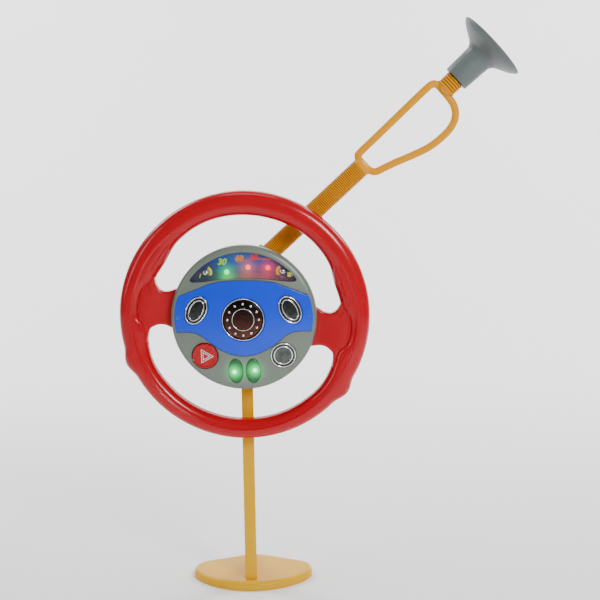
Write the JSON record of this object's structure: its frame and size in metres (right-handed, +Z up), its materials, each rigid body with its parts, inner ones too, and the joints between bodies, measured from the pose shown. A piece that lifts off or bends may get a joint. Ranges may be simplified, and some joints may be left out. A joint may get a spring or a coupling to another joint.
{
  "type": "toy steering wheel",
  "caption": "Child's toy steering wheel: round console with push buttons and lamps, a turning rim, a post with a foot plate and a ribbed arm with a suction cup.",
  "frame": {"origin": "middle of the foot plate, on its underside", "axes": "+Z up, the wheel faces -Y, +X to the right as seen by the driver"},
  "size_m": [0.3986, 0.1171, 0.582],
  "materials": {
    "wheel_red": "high gloss",
    "console_grey": "satin",
    "faceplate_blue": "high gloss",
    "dash_print": "printed and laminated",
    "clear_lens": "clear polished plastic",
    "chrome": "bright plated plastic",
    "mirror_chrome": "dark mirror plating",
    "smoked_chrome": "smoked brown plating",
    "lamp_green": "lit lamp",
    "lamp_orange": "lit lamp",
    "lamp_red": "lit lamp",
    "lens_green": "translucent, lit from behind",
    "hazard_red": "satin gloss",
    "white_print": "inlaid white",
    "board": "solder mask",
    "black_plastic": "black",
    "case_black": "fine texture",
    "yellow": "gloss",
    "arm_orange": "soft moulded plastic, satin",
    "cup_grey": "soft moulded plastic, satin",
    "steel": "bright zinc",
    "cell": "printed sleeve over steel"
  },
  "bodies": {
    "console": {"front_housing": "console_grey", "blue_faceplate": "faceplate_blue", "dash_tray": "dash_print", "dash_lens": "clear_lens", "left_gauge_dome": "chrome", "right_gauge_dome": "chrome", "green_lamp": "lamp_green", "orange_lamp": "lamp_orange", "red_lamp": "lamp_red", "left_indicator_lens": "lens_green", "right_indicator_lens": "lens_green", "left_indicator_lamp": "lamp_green", "right_indicator_lamp": "lamp_green", "horn_bezel": "chrome", "left_oval_bezel": "chrome", "right_oval_bezel": "chrome", "round_bezel": "chrome", "circuit_board": "board", "speaker": "black_plastic", "rear_housing": "case_black", "stand": "yellow", "arm_pivot_bolt": "steel", "arm_pivot_nut": "steel", "left_contact_plate": "steel", "right_contact_plate": "steel", "stand_screw_1": "steel", "stand_screw_2": "steel", "housing_screw_1": "steel", "housing_screw_2": "steel", "housing_screw_3": "steel", "housing_screw_4": "steel", "battery_spring_1": "steel", "battery_spring_2": "steel", "battery_spring_3": "steel", "battery_1": "cell", "battery_2": "cell", "battery_3": "cell"},
    "wheel": {"wheel_front_shell": "wheel_red", "wheel_rear_shell": "wheel_red", "wheel_screw_1": "steel", "wheel_screw_2": "steel", "wheel_screw_3": "steel", "wheel_screw_4": "steel"},
    "horn": {"horn_button": "smoked_chrome", "horn_inner_ring": "chrome"},
    "left_oval": {"left_oval_button": "mirror_chrome"},
    "right_oval": {"right_oval_button": "mirror_chrome"},
    "round": {"round_button": "mirror_chrome"},
    "hazard": {"hazard_button": "hazard_red", "hazard_triangle": "white_print"},
    "switch": {"switch_knob": "wheel_red"},
    "battery_cover": {"battery_door": "case_black", "door_screw": "steel"},
    "arm": {"arm_root": "case_black", "ribbed_arm": "arm_orange", "grab_loop": "arm_orange"},
    "cup": {"suction_cup": "cup_grey"}
  },
  "joints": [
    {"name": "wheel_turn", "type": "hinge", "parent": "console", "child": "wheel", "pos_m": [0, -0.047, 0.291], "axis": [0, 1, 0], "continuous": true},
    {"name": "horn_press", "type": "slide", "parent": "console", "child": "horn", "axis": [0, 1, 0], "range_m": [0, 0.0016], "stiffness_N_per_m": 500, "springref_m": -0.001},
    {"name": "left_oval_press", "type": "slide", "parent": "console", "child": "left_oval", "axis": [0, 1, 0], "range_m": [0, 0.0016], "stiffness_N_per_m": 500, "springref_m": -0.001},
    {"name": "right_oval_press", "type": "slide", "parent": "console", "child": "right_oval", "axis": [0, 1, 0], "range_m": [0, 0.0016], "stiffness_N_per_m": 500, "springref_m": -0.001},
    {"name": "round_press", "type": "slide", "parent": "console", "child": "round", "axis": [0, 1, 0], "range_m": [0, 0.0016], "stiffness_N_per_m": 500, "springref_m": -0.001},
    {"name": "hazard_press", "type": "slide", "parent": "console", "child": "hazard", "axis": [0, 1, 0], "range_m": [0, 0.0016], "stiffness_N_per_m": 500, "springref_m": -0.001},
    {"name": "power_switch", "type": "slide", "parent": "console", "child": "switch", "axis": [1, 0, 0], "range_m": [0, 0.005]},
    {"name": "battery_door_lift", "type": "slide", "parent": "console", "child": "battery_cover", "axis": [0, 1, 0], "range_m": [0, 0.02]},
    {"name": "arm_swing", "type": "hinge", "parent": "console", "child": "arm", "pos_m": [0, -0.015, 0.3281], "axis": [0, 1, 0], "range_deg": [-137, 42]},
    {"name": "cup_twist", "type": "hinge", "parent": "arm", "child": "cup", "pos_m": [0.22168, -0.015, 0.53024], "axis": [0.7389, 0, 0.6738], "continuous": true}
  ]
}
